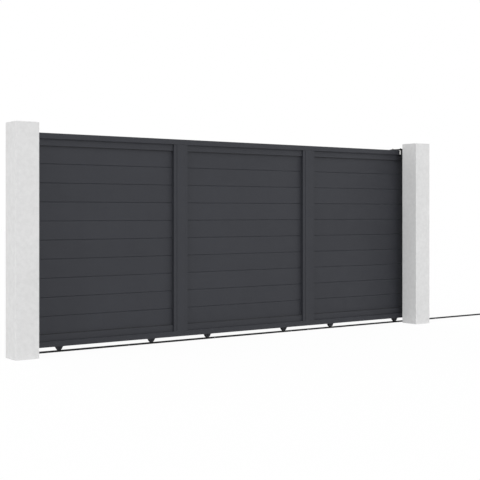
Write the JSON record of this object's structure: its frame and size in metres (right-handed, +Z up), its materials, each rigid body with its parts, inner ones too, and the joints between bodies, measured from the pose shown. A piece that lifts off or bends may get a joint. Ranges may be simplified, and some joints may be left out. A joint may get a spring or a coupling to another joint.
{
  "type": "sliding driveway gate",
  "caption": "Sliding driveway gate with a slatted metal leaf on grooved wheels, a ground rail, a roller guide and two plain square pillars.",
  "frame": {"origin": "middle of the left pillar's base, at ground level", "axes": "+X along the gate, towards the side that the leaf slides to; +Y from the street into the drive; +Z up"},
  "size_m": [8.581, 0.353, 1.785],
  "materials": {
    "pillar_render": "fine smooth render",
    "frame_coating": "fine-textured anthracite powder coat",
    "slat_coating": "fine-textured anthracite powder coat",
    "cap_plastic": "moulded black plastic",
    "dark_steel": "satin black paint",
    "zinc_steel": "zinc plated",
    "wheel_steel": "turned and darkened steel",
    "white_nylon": "white nylon",
    "black_rubber": "matte black rubber"
  },
  "bodies": {
    "installation": {"left_pillar": "pillar_render", "right_pillar": "pillar_render", "left_ground_rail": "dark_steel", "middle_ground_rail": "dark_steel", "right_ground_rail": "dark_steel", "guide_bracket": "dark_steel", "guide_pins": "wheel_steel", "closing_receiver": "zinc_steel", "closing_buffer": "black_rubber", "parking_stop": "dark_steel", "parking_buffer": "black_rubber"},
    "leaf": {"top_rail": "frame_coating", "bottom_rail": "frame_coating", "left_end_stile": "frame_coating", "right_end_stile": "frame_coating", "left_inner_stile": "frame_coating", "right_inner_stile": "frame_coating", "end_caps": "cap_plastic", "upper_channels": "frame_coating", "lower_channels": "frame_coating", "left_slats": "slat_coating", "middle_slats": "slat_coating", "right_slats": "slat_coating", "wheel_carrier_1": "frame_coating", "wheel_carrier_2": "frame_coating", "wheel_carrier_3": "frame_coating", "wheel_carrier_4": "frame_coating", "wheel_carrier_5": "frame_coating", "wheel_carrier_6": "frame_coating", "wheel_axles": "wheel_steel"},
    "wheel_1": {"wheel_1": "wheel_steel"},
    "wheel_2": {"wheel_2": "wheel_steel"},
    "wheel_3": {"wheel_3": "wheel_steel"},
    "wheel_4": {"wheel_4": "wheel_steel"},
    "wheel_5": {"wheel_5": "wheel_steel"},
    "wheel_6": {"wheel_6": "wheel_steel"},
    "front_roller": {"front_guide_roller": "white_nylon"},
    "back_roller": {"back_guide_roller": "white_nylon"}
  },
  "joints": [
    {"name": "leaf_slide", "type": "slide", "parent": "installation", "child": "leaf", "axis": [1, 0, 0], "range_m": [0, 4]},
    {"name": "wheel_1_spin", "type": "hinge", "parent": "leaf", "child": "wheel_1", "pos_m": [0.387, 0.179, 0.0283], "axis": [0, 1, 0], "continuous": true},
    {"name": "wheel_2_spin", "type": "hinge", "parent": "leaf", "child": "wheel_2", "pos_m": [1.235, 0.179, 0.0283], "axis": [0, 1, 0], "continuous": true},
    {"name": "wheel_3_spin", "type": "hinge", "parent": "leaf", "child": "wheel_3", "pos_m": [1.802, 0.179, 0.0283], "axis": [0, 1, 0], "continuous": true},
    {"name": "wheel_4_spin", "type": "hinge", "parent": "leaf", "child": "wheel_4", "pos_m": [2.65, 0.179, 0.0283], "axis": [0, 1, 0], "continuous": true},
    {"name": "wheel_5_spin", "type": "hinge", "parent": "leaf", "child": "wheel_5", "pos_m": [3.217, 0.179, 0.0283], "axis": [0, 1, 0], "continuous": true},
    {"name": "wheel_6_spin", "type": "hinge", "parent": "leaf", "child": "wheel_6", "pos_m": [4.065, 0.179, 0.0283], "axis": [0, 1, 0], "continuous": true},
    {"name": "front_roller_spin", "type": "hinge", "parent": "installation", "child": "front_roller", "pos_m": [4.1, 0.124, 1.703], "axis": [0, 0, 1], "continuous": true},
    {"name": "back_roller_spin", "type": "hinge", "parent": "installation", "child": "back_roller", "pos_m": [4.1, 0.234, 1.703], "axis": [0, 0, 1], "continuous": true}
  ],
  "couplings": [
    {"joint": "wheel_1_spin", "follows": "leaf_slide", "rad_per_m": 62.5},
    {"joint": "wheel_2_spin", "follows": "leaf_slide", "rad_per_m": 62.5},
    {"joint": "wheel_3_spin", "follows": "leaf_slide", "rad_per_m": 62.5},
    {"joint": "wheel_4_spin", "follows": "leaf_slide", "rad_per_m": 62.5},
    {"joint": "wheel_5_spin", "follows": "leaf_slide", "rad_per_m": 62.5},
    {"joint": "wheel_6_spin", "follows": "leaf_slide", "rad_per_m": 62.5}
  ]
}
